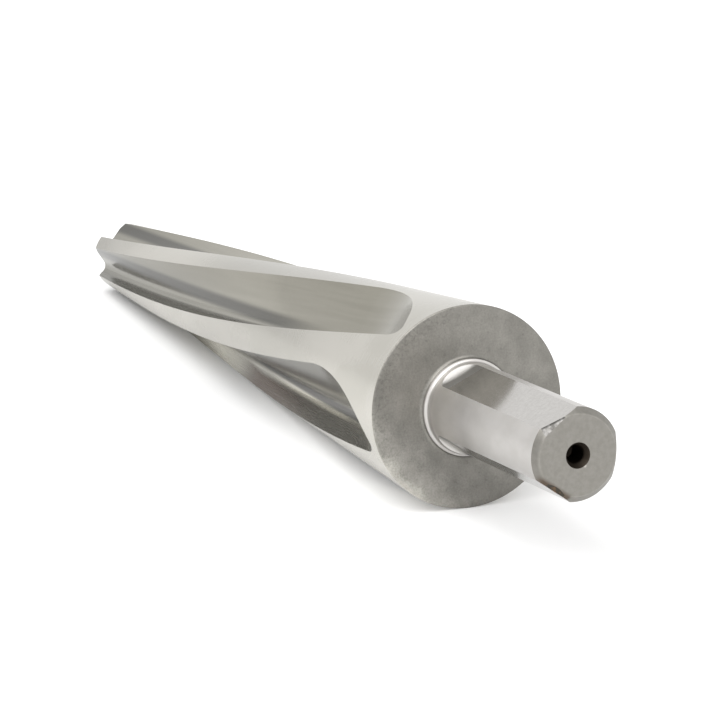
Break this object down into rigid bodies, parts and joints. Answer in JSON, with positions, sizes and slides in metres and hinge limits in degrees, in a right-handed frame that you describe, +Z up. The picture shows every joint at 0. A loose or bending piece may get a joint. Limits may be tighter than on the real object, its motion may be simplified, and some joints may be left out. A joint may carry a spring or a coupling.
{
  "type": "taper reamer",
  "caption": "One-piece tapered reamer with left-hand helical flutes that run out before a flat shoulder, and a short three-flat shank with centre holes.",
  "frame": {"origin": "centre of the footprint, on the surface that the tool lies on", "axes": "+X along the tool from its tip towards its shank, +Z up, with the tool lying on the lowest line of its taper"},
  "size_m": [0.1745, 0.0286, 0.0285],
  "materials": {
    "ground_steel": "bright ground lands and shank, satin flutes, dull turned shoulder face"
  },
  "bodies": {
    "root": {"taper_reamer": "ground_steel"}
  },
  "joints": []
}
